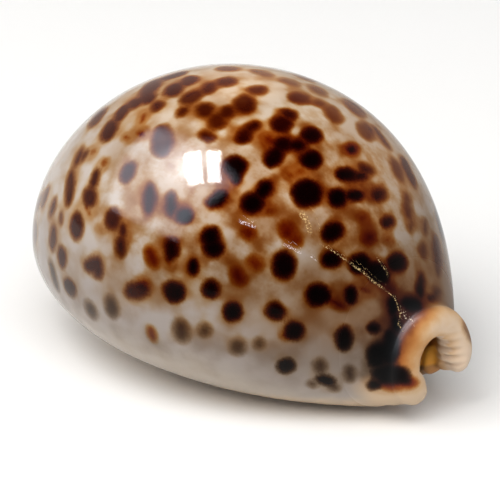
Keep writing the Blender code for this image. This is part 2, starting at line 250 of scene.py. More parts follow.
# Grey marks low on the flank, deep in the glaze
SUNKEN_MARKS = (
    Mark(181, 331, 2, 1.35, 75), Mark(205, 330, 1.05, 1, 0), Mark(238, 347, 1.3, 1.25, 0),
    Mark(259, 344, 0.85, 0.75, 0), Mark(320, 366, 1.2, 1, 90), Mark(334, 387, 0.9, 0.65, 20),
    Mark(313, 384, 0.8, 0.5, 0), Mark(350, 374, 1.3, 1, 90), Mark(112, 307, 1.9, 1.15, 75),
    Mark(91, 310, 1.7, 0.85, 62), Mark(54, 276, 2.6, 0.45, 74),
)
# Painted glints: thin golden and white highlights painted into the colour along the line where the
# two folds of the animal's mantle meet: half the breadth of each in millimetres, how white it is
# rather than golden, and pixels along it
Scuff = namedtuple("Scuff", "wide white path")
PAINTED_GLINTS = (
    Scuff(0.15, 0.0, ((318, 243), (331, 250), (343, 258), (352, 264))),
    Scuff(0.28, 0.0, ((348, 261), (362, 271), (373, 281), (385, 290))),
    Scuff(0.12, 0.0, ((383, 289), (394, 297), (398, 306), (400, 316), (398, 324), (404, 333))),
    Scuff(0.14, 0.0, ((376, 256), (381, 264), (387, 272), (388, 277))),
    Scuff(0.14, 0.4, ((403, 309), (405, 318), (412, 320), (415, 328))),
    Scuff(0.34, 1.0, ((239, 220), (247, 224), (256, 228))),
    Scuff(0.30, 1.0, ((283, 244), (292, 248), (302, 253))),
    Scuff(0.16, 1.0, ((310, 256), (317, 261))),
    Scuff(0.62, 0.0, ((301, 211), (307, 222), (310, 235))),
)

# The window that the glaze mirrors, in degrees above level, round from +X and of its own
# turn. Its parts have their distance, their place across and up from its middle, their width
# and height, their own turn, power for each square metre, colour and soft share
WINDOW_HEIGHT = 68.8
WINDOW_SIDE = -115.3
WINDOW_TURN = 64.4
Pane = namedtuple("Pane", "name distance across up width height turn power colour soft")
WINDOW_PANES = (
    Pane("pane_left", 1.00, -0.083, 0.0, 0.145, 0.385, 0.0, 180.0, (1.0, 1.0, 1.0), 0.0),
    Pane("pane_right", 1.00, 0.098, 0.0, 0.115, 0.385, 0.0, 180.0, (1.0, 1.0, 1.0), 0.0),
    Pane("glow", 1.01, -0.17, 0.03, 0.84, 0.80, 0.0, 66.0, (0.86, 0.93, 1.0), 0.5),
    Pane("curtain", 1.02, -0.535, -0.096, 1.42, 1.37, 38.5, 21.0, (0.78, 0.86, 1.0), 0.14),
)

# How far marks reach: the fillet between marks that touch, the fall of the warm halo round
# each, how much shallower a faint mark is, and the value away from any mark
MARK_FILLET = 0.0006
HALO_REACH = 0.0006
FAINT_STEP = 0.0006
FAR_FROM_MARKS = 0.006
# A mark is worked out this far round it, as a share of its length and a fixed margin, and
# there are least values for its inner radius and for its slope
MARK_REACH = 3.0
MARK_MARGIN = 0.006
LEAST_RADIUS = 0.08
LEAST_SLOPE = 0.12
# How far past the outline of the photograph a mark may turn, and how fast it thins out there
PAST_OUTLINE_FACING = -0.45
PAST_OUTLINE = 0.006
# Between which distances from its edge, in millimetres, a mark comes to its full depth
DARK_EDGE = (0.42, -1.35)
AMBER_EDGE = (0.60, -1.50)
SUNKEN_EDGE = (0.80, -1.50)
# Thickness of the pigment in the middle of a dark mark: the least, and how much more at most
DARK_LEAST = 1.3
DARK_MORE = 3.5
AMBER_DEPTH = 1.6
SUNKEN_DEPTH = 1.9
# From here out to either tip the inner skin counts as the rim
RIM_INSIDE = 0.0408
# Painted glints, in half breadths: the value away from them, how far they are looked for and how
# far they run past their ends. Their ends fade over this share of a glint
GLINT_NOWHERE = 9.0
GLINT_REACH = 3.0
GLINT_OVERSHOOT = 1.5
GLINT_ENDS = 0.15

# Noises of the glaze: scale for each millimetre, detail, roughness and how much of each counts
NOISES = {
    "cloud": (0.09, 2.0, 0.5, 1.0),
    "mottle": (0.30, 3.0, 0.5, 1.0),
    "ragged": (0.50, 2.0, 0.5, 0.8),
    "grain": (2.2, 3.0, 0.65, 0.45),
    "streaks": (1.9, 1.0, 0.5, 0.14),
    "patches": (0.30, 1.0, 0.5, 1.5),
    "smoke": (0.17, 1.0, 0.5, 1.0),
    "glints": (5.0, 2.0, 0.7, 1.0),
    "pits": (1.4, 3.0, 0.6, 0.40),
    "swell": (0.16, 1.0, 0.5, 0.5),
}
# Streaks run round the shell, so their noise is drawn out along it
STREAK_STRETCH = (0.4, 1.0, 1.0)
# Borders that wander with a noise: what each goes by, the noise, and by how much in metres
BORDERS = (
    ("level", "height", "cloud", 0.006),
    ("margin", "height", "mottle", 0.005),
    ("sole_edge", "height", "mottle", 0.002),
    ("low_edge", "height", "ragged", 0.004),
    ("tip", "along", "mottle", 0.0012),
    ("rim_tip", "along", "mottle", 0.0016),
    ("notch_tip", "along", "mottle", 0.004),
)
# Middle of the painted amber glow in the siphon canal, a painted stand-in for warm light through the
# thin wall, across the shell
CANAL_MIDDLE = 0.0045
# Where the layers of the glaze lie. A zone is a product of fades: what each goes by, from where
# to where, and how strong the layer is at both ends where that isn't 0 and 1
ZONES = {
    "margin_narrows": (("along", 0.012, 0.036, 0.0, 0.0070),),
    "rim_spreads": (("height", 0.0120, 0.0070, 0.0, 0.0050),),
    "cream": (("level", 0.025, 0.037),),
    "spire": (("along", 0.016, -0.004), ("level", 0.016, 0.034)),
    "crown": (("level", 0.0385, 0.0440),),
    # Painted sheen: a pale band along the top of the crown, lighter for the sheen at the top edge
    "ridge": (("height", 0.0448, 0.0464),),
    "margin": (("margin", 0.0150, 0.0060),),
    "siphon_rim": (("siphon_tip", 0.0385, 0.0412),),
    "foot": (("height", 0.0100, 0.0065), ("across", 0.0030, 0.0)),
    "spire_rim": (("tip", -0.0370, -0.0400),),
    "sole": (("sole_edge", 0.0050, 0.0020),),
    "sole_at_notch": (("along", 0.0330, 0.0400),),
    "golden": (
        ("height", 0.017, 0.030),
        ("height", 0.0440, 0.0390, 0.45, 1.0),
        ("along", 0.0380, 0.0360),
        ("across", 0.016, 0.006, 0.4, 1.0),
        ("along", -0.014, 0.016, 0.15, 1.0),
    ),
    "halo": (
        ("height", 0.010, 0.028, 0.12, 1.0),
        ("along", -0.002, 0.018, 0.45, 1.0),
        ("across", 0.001, 0.009, 1.0, 0.45),
        ("height", 0.036, 0.042, 1.0, 1.6),
    ),
    "rim_amber": (
        ("rim_tip", 0.0424, 0.0397, 0.0, 0.85),
        ("along", 0.0372, 0.0388),
        ("height", 0.0080, 0.0120),
        ("across", 0.0050, -0.0005, 0.30, 1.0),
    ),
    # Painted glow: amber on the lips by the siphon canal, standing in for warm light through the wall
    "canal_amber": (
        ("along", 0.020, 0.032),
        ("height", 0.0095, 0.0070, 0.0, 0.40),
        ("from_canal", 0.0048, 0.0032),
        ("along", 0.040, 0.0375),
    ),
    "deep_dark": (
        ("height", 0.0375, 0.0435, 1.0, 0.50),
        ("along", 0.006, 0.016, 0.28, 1.0),
        ("along", -0.019, -0.009),
    ),
    "near_side": (("across", -0.001, 0.0075, 1.0, 0.10),),
    "thinner_over": (("across", -0.006, 0.006, 1.0, 0.50),),
    "far_side": (("across", 0.013, 0.020),),
    # Painted sheen: the dark marks are thinner along the top of the crown
    "thinner_ridge": (("height", 0.0450, 0.0464, 1.0, 0.75),),
    "wider_marks": (("height", 0.035, 0.041, 0.0, 0.32),),
    "smoke": (("along", -0.020, 0.020, 0.45, 1.0), ("across", 0.0, 0.008, 1.0, 0.4)),
    "notch_smoke": (("along", 0.018, 0.036, 0.0, 0.55), ("height", 0.0290, 0.0220, 0.10, 1.0)),
    "golden_smoke": (("across", 0.0, 0.008, 0.26, 0.16),),
    "smoke_bounds": (("height", 0.004, 0.013), ("along", 0.0400, 0.0380)),
    "notch_brown": (
        ("rim_tip", 0.0408, 0.0390),
        ("notch_tip", 0.0345, 0.0385),
        ("height", 0.0060, 0.0095),
        ("across", 0.004, -0.001),
    ),
    "low_marks": (("low_edge", 0.0190, 0.0110),),
    # Painted glow: the inside turns amber deeper in, standing in for warm light through the thin wall
    "lining": (("along", 0.0400, 0.0370), ("along", -0.0400, -0.0370)),
    "worn": (("along", 0.0280, 0.0390, 0.0, 0.45),),
}
# Noises turned into layers: from which value to which, and how thick the layer is at both
GOLDEN_RANGE = (-0.18, 0.28, 0.02, 1.05)
HALO_RANGE = (0.15, 1.15, 0.0, 0.70)
SMOKE_RANGE = (-0.16, 0.26, 0.02, 0.46)
GLINT_RANGE = (0.01, 0.10)
GLINT_LINE_RANGE = (1.0, 0.3)
# Share of the dark marks' least thickness that comes back on the far side, and of the most
FAR_LEAST = 0.40
FAR_MORE = 0.55
# Shares of layers in one another
CLOUD_IN_GOLDEN = 0.9
MOTTLE_IN_SMOKE = 0.35
GOLDEN_AMBER = 0.32
GLINT_COVER = 0.7
GLINT_RAGGED = 1.6
GLINT_ROUGHNESS = 0.3
BUMP_STRENGTH = 0.12
BUMP_HEIGHT = 0.0002

# The floor: its whiteness and how far below the sole it lies
FLOOR_WHITE = 0.86
FLOOR_GAP = 0.0001
FLOOR_ROUGHNESS = 0.9
# Directions of the room, fixed to the shell: its darker front and its siphon side
ROOM_FRONT = (0.73, -0.68, 0.0)
ROOM_SIDE = (0.68, 0.73, 0.0)
# Painted shade in reflections: how the gloss sees the floor, from where to where it fades darker to
# the front, with its value at the back, and to the side
FLOOR_AHEAD = (0.0, 0.08, 0.90)
FLOOR_BESIDE = (0.0, 0.06, 1.0, 0.72)
# How the gloss sees the walls: by their rise, by how far they are to the front, and colours
WALL_RISE = (0.85, 0.2)
WALL_AHEAD = (0.55, -0.15, 0.06, 1.0)
CEILING_COLOUR = (0.012, 0.012, 0.014, 1.0)
WALL_COLOUR = (0.42, 0.405, 0.39, 1.0)
WHITE = (1.0, 1.0, 1.0, 1.0)
# Height of the point that the lights face
LIT_HEIGHT = 0.02
KEY_DISTANCE = 0.9
KEY_COLOUR = (1.0, 0.985, 0.96)

# Random marks on the sides that the photograph doesn't show
HIDDEN_MARK_SEED = 11
HIDDEN_MARKS = 190
HIDDEN_MARK_LEAST = 0.0010
HIDDEN_MARK_MOST = 0.0027
HIDDEN_MARK_SLIMMEST = 0.65
HIDDEN_MARK_SPACING = 0.0040
HIDDEN_MARK_SPREAD = (0.85, 1.25)
# Where they lie: past this facing, above this height and this far from the middle
HIDDEN_MARK_FROM = -0.12
HIDDEN_MARK_FLOOR = 0.0105
HIDDEN_MARK_ENDS = 0.0370
HIDDEN_AMBER_SHARE = 0.25
# How far one may turn over the shell, and how its length is tilted
HIDDEN_MARK_FACING = 0.2
HIDDEN_MARK_TILT = 0.3


def soft_max(size, other, power):
    """The larger of two sizes, with a smooth fillet where they cross."""
    return (size**power + other**power) ** (1.0 / power)


def ease(value):
    """Rise smoothly from 0 to 1 while the value goes from 0 to 1."""
    value = np.clip(value, 0.0, 1.0)
    return value * value * (3.0 - 2.0 * value)


def egg(place, form):
    """Half-breadth of an egg, 1 at its widest, for places from -1 to 1 along it."""
    skew, fullness, taper = form

    def breadth(at):
        swell = 1.0 + skew * at + fullness * at**2 + taper * at**3
        return np.sqrt(np.clip(1.0 - at**2, 0.0, 1.0)) * swell

    return breadth(place) / breadth(np.linspace(-1.0, 1.0, EGG_SAMPLES)).max()


def section_sizes(x):
    """Sizes of the cross-sections at the stations x, as columns for broadcasting."""
    siphon_tip = 0.5 * LENGTH - SIPHON.short
    spire_tip = -0.5 * LENGTH + SPIRE.short
    place = (x - 0.5 * (siphon_tip + spire_tip)) / (0.5 * (siphon_tip - spire_tip))
    place = np.clip(place, -1.0, 1.0)
    toward_siphon = ease(x / LENGTH + 0.5)
    near_end = np.abs(place) ** 3
    at_end = np.abs(place) ** 4
    siphon_half = x > 0.0
    flare = np.clip((np.abs(x) - 0.5 * LENGTH + FLARE_LENGTH) / FLARE_LENGTH, 0.0, 1.0) ** 2
    ends = {name: (getattr(SPIRE, name), getattr(SIPHON, name)) for name in End._fields}

    def along(name):
        spire_size, siphon_size = ends[name]
        return spire_size + (siphon_size - spire_size) * toward_siphon

    def own(name):
        spire_size, siphon_size = ends[name]
        return np.where(siphon_half, siphon_size, spire_size)

    def to_end(middle, name, share):
        return middle + (own(name) - middle) * share

    fillet = along("fillet")
    canal = along("half_width")
    plan = 0.5 * WIDTH * egg(place, PLAN_FORM)
    profile = (CROWN_HEIGHT - BELT_HEIGHT) * egg(place, PROFILE_FORM)
    belt = BELT_HEIGHT - BELT_DROP * place * (1.0 - place**2)
    lift = np.where(siphon_half, at_end, place**2)
    sizes = {
        "outer_half": soft_max(plan, canal + flare * along("flare_outer"), fillet),
        "columella_half": soft_max(plan, canal + flare * along("flare_columella"), fillet),
        "back": soft_max(profile, along("back") + flare * along("flare_outer"), fillet),
        "belt": belt + (along("axis") - belt) * near_end,
        "outer_sole": own("lift_outer") * lift,
        "columella_sole": own("lift_columella") * lift,
        "centre": own("offset") * at_end,
        "sole_power": to_end(SOLE_POWER, "sole_power", near_end),
        "slit": to_end(SLIT_OFFSET, "slit_offset", place**2),
        "slit_half": to_end(SLIT_HALF_MIDDLE, "slit_half", near_end),
        "back_wall": to_end(BACK_WALL, "back_wall", at_end),
        "side_wall": to_end(SIDE_WALL, "side_wall", at_end),
    }
    return {name: size[:, None] for name, size in sizes.items()}


def skin_sizes(sizes, inside):
    """Half widths, back and depths of the outer skin, or of the inner one."""
    depths = [sizes["belt"] - sizes["outer_sole"], sizes["belt"] - sizes["columella_sole"]]
    halves = [sizes["outer_half"], sizes["columella_half"]]
    back = sizes["back"]
    if inside:
        depths = [np.maximum(depth - SOLE_WALL, LEAST_SOLE_GAP) for depth in depths]
        halves = [half - sizes["side_wall"] for half in halves]
        back = back - sizes["back_wall"]
    return halves, back, depths


def skin_points(sizes, skin, angle):
    """Points of a cross-section at angles that run from below, by -Y, over the back."""
    halves, back, depths = skin
    down, side = np.cos(angle), np.sin(angle)
    over = down < 0.0
    power = np.where(over, BACK_POWER, sizes["sole_power"])
    half = np.where(side > 0.0, halves[0], halves[1])
    depth = np.where(side > 0.0, depths[0], depths[1])
    across = half * np.sign(side) * np.abs(side) ** (2.0 / power)
    upright = np.abs(down) ** (2.0 / power)
    lean = CROWN_LEAN * np.where(over, down**2, 0.0) * half / (0.5 * WIDTH)
    y = sizes["centre"] - across + lean
    z = sizes["belt"] + np.where(over, back * upright, -depth * upright)
    return np.stack([y, z], axis=-1)


def lip_angle(distance, half, power):
    """Angle at which a skin comes within the given distance of its centre line."""
    ratio = distance / half
    ratio = ratio / (1.0 + ratio**LIP_EASE) ** (1.0 / LIP_EASE)
    return np.arcsin(np.clip(ratio, *LIP_RATIOS) ** (0.5 * power))


def lip_nose(crest, skin_end, direction):
    """Round curve from the crest of a lip to the end of a skin, the crest first."""
    steps = np.linspace(0.0, 1.0, NOSE_POINTS + 1)[None, :-1, None]
    gap = skin_end - crest
    run = ROUND_HANDLE * np.abs(gap[..., :1])
    run = run / np.maximum(np.abs(direction[..., :1]), LEAST_RUN)
    near_crest = crest + gap * (0.0, ROUND_HANDLE)
    near_skin = skin_end + direction * run
    keep = 1.0 - steps
    ends = keep**3 * crest + steps**3 * skin_end
    return ends + 3.0 * keep**2 * steps * near_crest + 3.0 * keep * steps**2 * near_skin


def skin_spread(inside):
    """How far round a skin each of its points is, from the outer lip to the columella."""
    if not inside:
        return np.linspace(0.0, 1.0, OUTER_SKIN_POINTS)
    return 1.0 - np.linspace(1.0, 0.0, INNER_SKIN_POINTS) ** INNER_SKIN_CROWDING


def half_loop(sizes, inside):
    """One skin of every section, from the outer lip's crest to the columella lip's."""
    skin = skin_sizes(sizes, inside)
    reach = LIP_INNER_STEP if inside else LIP_ROUND
    lips = ("outer_sole", "columella_sole")
    crests = [sizes["slit"] - sizes["slit_half"], sizes["slit"] + sizes["slit_half"]]
    offsets = [sizes["centre"] - crests[0] + reach, crests[1] + reach - sizes["centre"]]
    start, stop = [lip_angle(offsets[k], skin[0][k], sizes["sole_power"]) for k in (0, 1)]
    stop = 2.0 * math.pi - stop
    angle = start + (stop - start) * skin_spread(inside)[None]
    points = skin_points(sizes, skin, angle)
    noses = []
    for k, end_angle, outward in ((0, angle[:, :1], -1.0), (1, angle[:, -1:], 1.0)):
        skin_end = skin_points(sizes, skin, end_angle)
        ahead = skin_points(sizes, skin, end_angle + outward * ANGLE_STEP)
        direction = ahead - skin_end
        direction = direction / np.linalg.norm(direction, axis=-1, keepdims=True)
        crest_height = sizes[lips[k]] + LIP_CREST_RISE * LIP_ROUND
        crest = np.stack([crests[k], crest_height], axis=-1)
        noses.append(lip_nose(crest, skin_end, direction))
    return np.concatenate([noses[0], points, noses[1][:, ::-1]], axis=1)


def loop_places(inside):
    """How far along a half loop each of its points is, from 0 at one lip to 1 at the other."""
    nose = np.linspace(0.0, NOSE_SHARE, NOSE_POINTS + 1)[:-1]
    skin = NOSE_SHARE + (1.0 - 2.0 * NOSE_SHARE) * skin_spread(inside)
    return np.concatenate([nose, skin, 1.0 - nose[::-1]])


def tooth_grooves(x, loop, inside, form):
    """Depth of the grooves between the teeth at every point of a half loop."""
    pitch = TOOTH_ROW / form.teeth
    fade = ease((0.5 * TOOTH_ROW - np.abs(x)) / TEETH_FADE)[:, None]
    depth = np.zeros(loop.shape[:2])
    steps = np.linalg.norm(np.diff(loop, axis=1), axis=-1)
    lips = ((1, 0.0, OUTER_TEETH_REACH), (-1, math.pi, COLUMELLA_TEETH_REACH))
    for direction, phase, sole_reach in lips:
        reach = INNER_TEETH_REACH if inside else sole_reach
        walked = np.cumsum(steps[:, ::direction], axis=1)
        walked = np.concatenate([np.zeros((len(x), 1)), walked], axis=1)[:, ::direction]
        valley = 0.5 - 0.5 * np.cos(2.0 * math.pi * x / pitch + phase)
        depth += fade * valley[:, None] * (1.0 - ease(walked / reach))
    return form.groove_depth * depth


def cut_teeth(x, loop, inside, form):
    """Press the grooves between the teeth into a half loop, along its normals."""
    along = np.gradient(loop, axis=1)
    along = along / np.linalg.norm(along, axis=-1, keepdims=True)
    inward = np.stack([along[..., 1], -along[..., 0]], axis=-1)
    if inside:
        inward = -inward
    return loop + inward * tooth_grooves(x, loop, inside, form)[..., None]


def shorten(ring, trim):
    """A half loop drawn in along itself by the given length at both of its ends."""
    steps = np.linalg.norm(np.diff(ring, axis=0), axis=-1)
    walked = np.concatenate([[0.0], np.cumsum(steps)])
    wanted = trim + walked * (1.0 - 2.0 * trim / walked[-1])
    return np.column_stack([np.interp(wanted, walked, ring[:, k]) for k in (0, 1)])


def round_rim(skins, places, end):
    """Rings that turn a wall's end over, both skins closing in on the middle of the wall."""
    radius = (SIPHON if end > 0.0 else SPIRE).rim_radius
    rims = []
    for k in (0, 1):
        skin, other = skins[k], skins[1 - k]
        facing = [np.interp(places[k], places[1 - k], other[:, axis]) for axis in (0, 1)]
        middle = 0.5 * (skin + np.column_stack(facing))
        rings = []
        for share in RIM_TURNS:
            turn = 0.5 * math.pi * share
            x = end * (0.5 * LENGTH - radius * (1.0 - math.sin(turn)))
            drawn_in = shorten(middle, radius * (1.0 - math.cos(turn)))
            ring = drawn_in + (skin - middle) * math.cos(turn)
            rings.append(np.column_stack([np.full(len(ring), x), ring]))
        rims.append(np.array(rings))
    return rims


def settle(points):
    """Set back the backs and the following lobes of the rims, and wear the sole flat."""
    x, y, z = points[..., 0], points[..., 1], points[..., 2]
    near_rim = (np.abs(x) - 0.5 * LENGTH + SETBACK_LENGTH) / SETBACK_LENGTH
    near_rim = np.clip(near_rim, 0.0, 1.0) ** 2
    height = ease((z - BACK_SETBACK_FROM) / BACK_SETBACK_RISE)
    lobe = ease(np.sign(x) * (LOBE_SETBACK_FROM - y) / LOBE_SETBACK_WIDTH)
    x = x - np.sign(x) * near_rim * (BACK_SETBACK * height + LOBE_SETBACK * lobe)
    z = np.maximum(z - SOLE_FLAT, 0.0)
    return np.stack([x, y, z], axis=-1)


def shell_skins(form):
    """Outer and inner half loops of every station, from the spire end to the siphon end."""
    tips = (SPIRE.rim_radius - 0.5 * LENGTH, 0.5 * LENGTH - SIPHON.rim_radius)
    x = np.linspace(*tips, STATIONS)
    sizes = section_sizes(x)
    loops = [cut_teeth(x, half_loop(sizes, inside), inside, form) for inside in (False, True)]
    places = [loop_places(inside) for inside in (False, True)]
    spire_rims = round_rim([loop[0] for loop in loops], places, -1.0)
    siphon_rims = round_rim([loop[-1] for loop in loops], places, 1.0)
    skins = []
    for k, loop in enumerate(loops):
        spread = np.broadcast_to(x[:, None, None], loop.shape[:2] + (1,))
        body = np.concatenate([spread, loop], axis=-1)
        skins.append(settle(np.concatenate([spire_rims[k][::-1], body, siphon_rims[k]])))
    skins[1] = raise_bead(skins[1], form)
    return skins, places


def raise_bead(inner, form):
    """Raise the toothed bead inside the siphon notch, on the columella side."""
    x, y, z = inner[..., 0], inner[..., 1], inner[..., 2]
    beyond = x - BEAD_PLACE
    rise = 1.0 - ease(np.abs(beyond) / np.where(beyond < 0.0, BEAD_BEHIND, BEAD_AHEAD))
    rise = rise * ease((y - BEAD_SIDE) / BEAD_SIDE_WIDTH)
    rise = rise * ease((z - BEAD_FOOT) / BEAD_FOOT_WIDTH)
    valley = 0.5 - 0.5 * np.cos(2.0 * math.pi * z / BEAD_TEETH_PITCH)
    groove = form.bead_groove_depth * valley
    raised = rise * (form.bead_height - groove)
    bitten = rise * groove * ease((x - BEAD_FACE) / BEAD_FACE_LENGTH)
    return np.stack([x - bitten, y - raised, z], axis=-1)


def grid_faces(rows):
    """Four-sided faces between neighbouring rows of vertex numbers."""
    corners = (rows[:-1, :-1], rows[:-1, 1:], rows[1:, 1:], rows[1:, :-1])
    return np.stack(corners, axis=-1).reshape(-1, 4).tolist()


def rim_faces(outer, inner, places):
    """Faces that close a rim between its last outer ring and its last inner one."""
    nearest = [int(np.abs(places[1] - place).argmin()) for place in places[0]]
    faces = []
    for k in range(len(outer) - 1):
        corners = (outer[k], inner[nearest[k]], inner[nearest[k + 1]], outer[k + 1])
        faces.append(list(dict.fromkeys(int(corner) for corner in corners)))
    return faces


def shell_mesh(form):
    """The shell as one closed mesh, with the share of every vertex that lies inside."""
    (outer, inner), places = shell_skins(form)
    crests = 0.5 * (outer[:, (0, -1)] + inner[:, (0, -1)])
    outer[:, (0, -1)] = crests
    rows, across = outer.shape[:2]
    outer_rows = np.arange(rows * across).reshape(rows, across)
    between = np.arange(rows * (inner.shape[1] - 2)).reshape(rows, -1) + rows * across
    inner_rows = np.concatenate([outer_rows[:, :1], between, outer_rows[:, -1:]], axis=1)
    points = np.concatenate([outer.reshape(-1, 3), inner[:, 1:-1].reshape(-1, 3)])
    faces = grid_faces(outer_rows) + grid_faces(inner_rows[:, ::-1])
    faces += rim_faces(outer_rows[0], inner_rows[0], places)
    faces += [face[::-1] for face in rim_faces(outer_rows[-1], inner_rows[-1], places)]
    mesh = bpy.data.meshes.new("cowrie_shell")
    mesh.from_pydata(points.tolist(), [], [face[::-1] for face in faces])
    mesh.update()
    mesh.shade_smooth()
    inside = np.concatenate([np.zeros(rows * across), np.ones(len(points) - rows * across)])
    inside *= np.abs(points[:, 0]) < RIM_INSIDE
    return mesh, points, inside


def photo_axes():
    """The photograph's camera: its place, and the directions right, up and back."""
    azimuth, elevation = math.radians(PHOTO_AZIMUTH), math.radians(PHOTO_ELEVATION)
    level = math.cos(elevation)
    back = Vector((math.sin(azimuth) * level, -math.cos(azimuth) * level, math.sin(elevation)))
    right = Vector((math.cos(azimuth), math.sin(azimuth), 0.0))
    up = back.cross(right)
    return Vector(PHOTO_TARGET) + back * PHOTO_DISTANCE, right, up, back


def pixel_ray(x, y):
    """Direction from the photograph's camera through a pixel."""
    _, right, up, back = photo_axes()
    pixels_per_depth = PHOTO_WIDTH * PHOTO_LENS_MM / SENSOR_MM
    across = (x - 0.5 * PHOTO_WIDTH) / pixels_per_depth
    down = (y - 0.5 * PHOTO_WIDTH) / pixels_per_depth
    return (right * across - up * down - back).normalized()


class Canvas:
    """The outer skin of the shell, as the marks see it."""

    def __init__(self, mesh, points, inside):
        normals = np.empty(len(points) * 3, np.float32)
        mesh.vertex_normals.foreach_get("vector", normals)
        self.points = points
        self.normals = normals.reshape(-1, 3).astype(float)
        self.outside = inside < 0.5
        polygons = [tuple(polygon.vertices) for polygon in mesh.polygons]
        self.tree = BVHTree.FromPolygons([tuple(point) for point in points.tolist()], polygons)
        eye, right, up, back = photo_axes()
        self.eye = np.array(eye)
        self.axes = [np.array(axis) for axis in (right, up, back)]
        from_eye = points - self.eye
        self.depth = -from_eye @ self.axes[2]
        self.flat = np.stack([from_eye @ self.axes[0], from_eye @ self.axes[1]], axis=-1)
        self.facing = self.normals @ self.axes[2]

    def place(self, x, y):
        """Point of the shell that the photograph shows at a pixel, or the nearest one."""
        ray = pixel_ray(x, y)
        spot, _, _, _ = self.tree.ray_cast(Vector(self.eye), ray)
        if spot is None:
            miss = Vector(self.eye) + ray * (Vector(PHOTO_TARGET) - Vector(self.eye)).dot(ray)
            spot = self.tree.find_nearest(miss)[0]
        return np.array(spot)

    def near(self, spot, long):
        """Which points of the outer skin a mark of some length at a spot may reach."""
        reach = MARK_REACH * long + MARK_MARGIN
        return self.outside & (np.linalg.norm(self.points - spot, axis=1) < reach)

    def seen_mark(self, x, y, long, wide, slant):
        """Distance on the shell from the edge of a mark, negative within it, in metres."""
        long, wide, slant = long * MM, wide * MM, math.radians(slant)
        spot = self.place(x, y)
        near = self.near(spot, long) & (self.facing > PAST_OUTLINE_FACING)
        from_eye = spot - self.eye
        depth = -from_eye @ self.axes[2]
        middle = np.array([from_eye @ self.axes[0], from_eye @ self.axes[1]]) / depth
        offset = (self.flat[near] / self.depth[near, None] - middle) * depth
        along = np.array([math.cos(slant), -math.sin(slant)])
        across = np.array([math.sin(slant), math.cos(slant)])
        radius, slope = ellipse(offset @ along, offset @ across, long, wide)
        flat_slope = slope[:, :1] * along + slope[:, 1:] * across
        steep = flat_slope[:, :1] * self.axes[0] + flat_slope[:, 1:] * self.axes[1]
        rise = np.sum(steep * self.normals[near], axis=1)
        steepness = np.sqrt(np.maximum(np.sum(steep**2, axis=1) - rise**2, 1.0))
        distance = (radius - 1.0) / np.maximum(steepness, LEAST_SLOPE / wide)
        return near, distance + PAST_OUTLINE * np.maximum(-self.facing[near], 0.0)

    def hidden_mark(self, spot, normal, long, wide, turn):
        """The same distance from the edge of a mark that lies flat on the shell."""
        near = self.near(spot, long) & (self.normals @ normal > HIDDEN_MARK_FACING)
        side = np.cross(normal, [math.cos(turn), math.sin(turn), HIDDEN_MARK_TILT])
        side = side / np.linalg.norm(side)
        offset = self.points[near] - spot
        radius, slope = ellipse(offset @ side, offset @ np.cross(normal, side), long, wide)
        steepness = np.linalg.norm(slope, axis=1)
        return near, (radius - 1.0) / np.maximum(steepness, LEAST_SLOPE / wide)


def ellipse(along, across, long, wide):
    """Radius of points about an ellipse, 1 on its edge, and how fast it grows either way."""
    share = np.stack([along / long, across / wide], axis=-1)
    radius = np.maximum(np.linalg.norm(share, axis=1), LEAST_RADIUS)
    return radius, share / radius[:, None] / np.array([long, wide])


def lay_mark(field, halo, near, distance, step=0.0):
    """Join a mark to the marks already in a field, with a fillet between, and add its halo."""
    old = field[near]
    edge = distance + step
    mix = np.clip(0.5 + 0.5 * (old - edge) / MARK_FILLET, 0.0, 1.0)
    field[near] = old + (edge - old) * mix - MARK_FILLET * mix * (1.0 - mix)
    halo[near] += np.exp(-np.maximum(distance, 0.0) / HALO_REACH)


def painted_glint_fields(canvas):
    """Place across the nearest painted glint, 1 at its edge, how strong it is and how white."""
    count = len(canvas.points)
    offset = np.full(count, GLINT_NOWHERE)
    strength, white = np.zeros(count), np.zeros(count)
    nearest = np.full(count, GLINT_REACH)
    for painted_glint in PAINTED_GLINTS:
        half = painted_glint.wide * MM
        path = np.array([canvas.place(x, y) for x, y in painted_glint.path])
        for k, (start, stop) in enumerate(zip(path, path[1:])):
            length = np.linalg.norm(stop - start)
            run = (stop - start) / length
            side = np.cross(run, canvas.axes[2])
            side = side / np.linalg.norm(side)
            gap = canvas.points - start
            walked = np.clip(gap @ run / length, 0.0, 1.0)
            distance = np.linalg.norm(gap - walked[:, None] * (stop - start), axis=1) / half
            closer = canvas.outside & (distance < nearest)
            offset[closer] = gap[closer] @ side / half
            at = (k + walked[closer]) / (len(path) - 1)
            within = distance[closer] - np.abs(offset[closer]) < GLINT_OVERSHOOT
            strength[closer] = ease(at / GLINT_ENDS) * ease((1.0 - at) / GLINT_ENDS) * within
            white[closer] = painted_glint.white
            nearest[closer] = distance[closer]
    return offset, strength, white


def hidden_places(canvas, random):
    """Places for marks on the sides that the photograph doesn't show, kept well apart."""
    hidden = canvas.outside & (canvas.facing < HIDDEN_MARK_FROM)
    hidden &= canvas.points[:, 2] > HIDDEN_MARK_FLOOR
    hidden &= np.abs(canvas.points[:, 0]) < HIDDEN_MARK_ENDS
    chosen = []
    for number in random.permutation(np.flatnonzero(hidden)):
        gaps = np.linalg.norm(canvas.points[chosen] - canvas.points[number], axis=1)
        spread = HIDDEN_MARK_SPREAD
        if not chosen or gaps.min() > HIDDEN_MARK_SPACING * random.uniform(*spread):
            chosen.append(number)
        if len(chosen) == HIDDEN_MARKS:
            break
    return chosen


